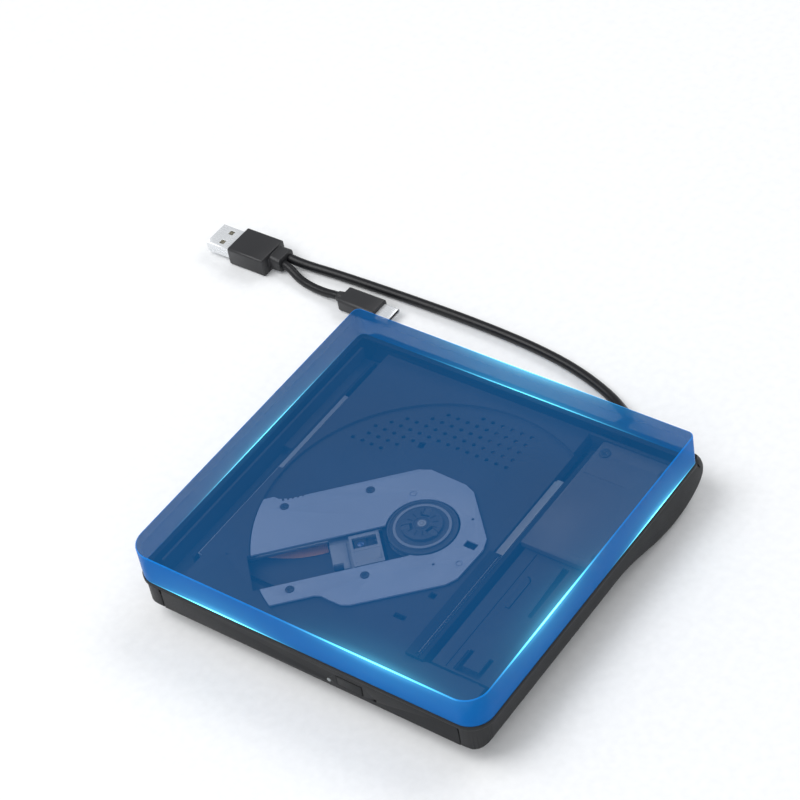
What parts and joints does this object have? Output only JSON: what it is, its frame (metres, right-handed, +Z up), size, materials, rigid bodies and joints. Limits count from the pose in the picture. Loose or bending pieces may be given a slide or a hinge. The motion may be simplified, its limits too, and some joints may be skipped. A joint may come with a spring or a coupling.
{
  "type": "external optical drive",
  "caption": "Slim USB disc drive with a see-through blue cover, a tray that slides out on rails, a turntable and laser sled, and a short lead with two plugs.",
  "frame": {"origin": "middle of the housing's footprint on the plane its feet rest on", "axes": "+X to the drive's right seen from the front, +Y to the back where the lead leaves, +Z up; the tray opens toward -Y"},
  "size_m": [0.2448, 0.1775, 0.0326],
  "materials": {
    "shell": "moulded, satin, near black",
    "cover": "clear blue, smooth",
    "rubber_black": "soft, matt",
    "steel": "plain, dull",
    "bright_steel": "ground rod",
    "sheet": "coated sheet steel",
    "tray_plastic": "moulded, matt black",
    "frame_plastic": "glass-filled, matt",
    "board": "green solder mask",
    "chip": "moulded package",
    "connector": "natural nylon",
    "ribbon": "flat white ribbon",
    "copper_flex": "amber printed flex",
    "cord_sleeve": "smooth cord sleeve",
    "plug_shell": "plated sheet",
    "plug_white": "white insulator",
    "lens_glass": "coated lens",
    "lamp": "clear light pipe",
    "pale_plastic": "acetal",
    "alloy": "die cast",
    "coil": "varnished coil"
  },
  "bodies": {
    "housing": {"base_shell": "shell", "top_cover": "cover", "front_feet": "rubber_black", "rear_foot_strips": "rubber_black", "case_screws": "steel", "chassis_pan": "sheet", "side_panel": "sheet", "pcb_cover": "sheet", "cover_plate_screws": "steel", "main_pcb": "board", "pcb_chips": "chip", "drive_connector": "connector", "bridge_pcb": "board", "bridge_chips": "chip", "left_guide": "frame_plastic", "right_guide": "frame_plastic", "latch_pin": "steel", "ribbon_lower": "ribbon", "cable_gland": "rubber_black", "main_cable": "cord_sleeve", "branch_cable": "cord_sleeve", "usb_a_body": "shell", "usb_a_shell": "plug_shell", "usb_a_tongue": "plug_white", "usb_c_body": "shell", "usb_c_shell": "plug_shell", "usb_c_tongue": "chip"},
    "tray": {"tray": "tray_plastic", "rail_cover": "frame_plastic", "front_bezel": "shell", "led_lens": "lamp", "button_board": "board", "traverse_plate": "sheet", "plate_screws": "steel", "traverse_frame": "frame_plastic", "dampers": "rubber_black", "guide_rods": "bright_steel", "spindle_motor": "steel", "sled_motor": "steel", "pickup_flex": "copper_flex", "ribbon_upper": "ribbon", "latch_solenoid": "coil"},
    "left_rail": {"left_rail": "steel"},
    "right_rail": {"right_rail": "steel", "ribbon_fold": "ribbon"},
    "button": {"eject_button": "shell"},
    "spindle": {"turntable": "alloy", "turntable_ring": "rubber_black", "hub": "frame_plastic"},
    "claw_1": {"hub_claw_1": "frame_plastic"},
    "claw_2": {"hub_claw_2": "frame_plastic"},
    "claw_3": {"hub_claw_3": "frame_plastic"},
    "lead_screw": {"lead_screw": "pale_plastic"},
    "sled": {"pickup_carriage": "alloy", "pickup_cover": "sheet"},
    "lens": {"lens_actuator": "chip", "objective_lens": "lens_glass"},
    "latch": {"latch_lever": "pale_plastic"},
    "plunger": {"solenoid_plunger": "steel"}
  },
  "joints": [
    {"name": "tray_slide", "type": "slide", "parent": "housing", "child": "tray", "axis": [0, -1, 0], "range_m": [0, 0.13]},
    {"name": "left_rail_slide", "type": "slide", "parent": "housing", "child": "left_rail", "axis": [0, -1, 0], "range_m": [0, 0.065]},
    {"name": "right_rail_slide", "type": "slide", "parent": "housing", "child": "right_rail", "axis": [0, -1, 0], "range_m": [0, 0.065]},
    {"name": "eject_button_press", "type": "slide", "parent": "tray", "child": "button", "axis": [0, 1, 0], "range_m": [0, 0.0006], "stiffness_N_per_m": 500},
    {"name": "turntable_spin", "type": "hinge", "parent": "tray", "child": "spindle", "pos_m": [0.0022, -0.00295, 0.0162], "axis": [0, 0, 1], "continuous": true},
    {"name": "claw_1_press", "type": "slide", "parent": "spindle", "child": "claw_1", "axis": [0.2588, -0.9659, 0], "range_m": [0, 0.0006], "stiffness_N_per_m": 300},
    {"name": "claw_2_press", "type": "slide", "parent": "spindle", "child": "claw_2", "axis": [0.7071, 0.7071, 0], "range_m": [0, 0.0006], "stiffness_N_per_m": 300},
    {"name": "claw_3_press", "type": "slide", "parent": "spindle", "child": "claw_3", "axis": [-0.9659, 0.2588, 0], "range_m": [0, 0.0006], "stiffness_N_per_m": 300},
    {"name": "sled_slide", "type": "slide", "parent": "tray", "child": "sled", "axis": [-0.7071, -0.7071, 0], "range_m": [0, 0.035]},
    {"name": "lead_screw_turn", "type": "hinge", "parent": "tray", "child": "lead_screw", "pos_m": [-0.006, 0.00525, 0.0114], "axis": [-0.7071, -0.7071, 0], "range_deg": [0, 4320]},
    {"name": "lens_focus", "type": "slide", "parent": "sled", "child": "lens", "axis": [0, 0, 1], "range_m": [-0.0003, 0.0003], "stiffness_N_per_m": 60},
    {"name": "latch_turn", "type": "hinge", "parent": "tray", "child": "latch", "pos_m": [0.049, -0.06215, 0.0115], "axis": [0, 0, 1], "range_deg": [-18, 0]},
    {"name": "plunger_slide", "type": "slide", "parent": "tray", "child": "plunger", "axis": [1, 0, 0], "range_m": [-0.00094, 0], "stiffness_N_per_m": 55}
  ],
  "couplings": [
    {"joint": "left_rail_slide", "follows": "tray_slide", "ratio": 0.5},
    {"joint": "right_rail_slide", "follows": "tray_slide", "ratio": 0.5},
    {"joint": "lead_screw_turn", "follows": "sled_slide", "rad_per_m": 2094.4},
    {"joint": "latch_turn", "follows": "plunger_slide", "rad_per_m": 333.33}
  ]
}
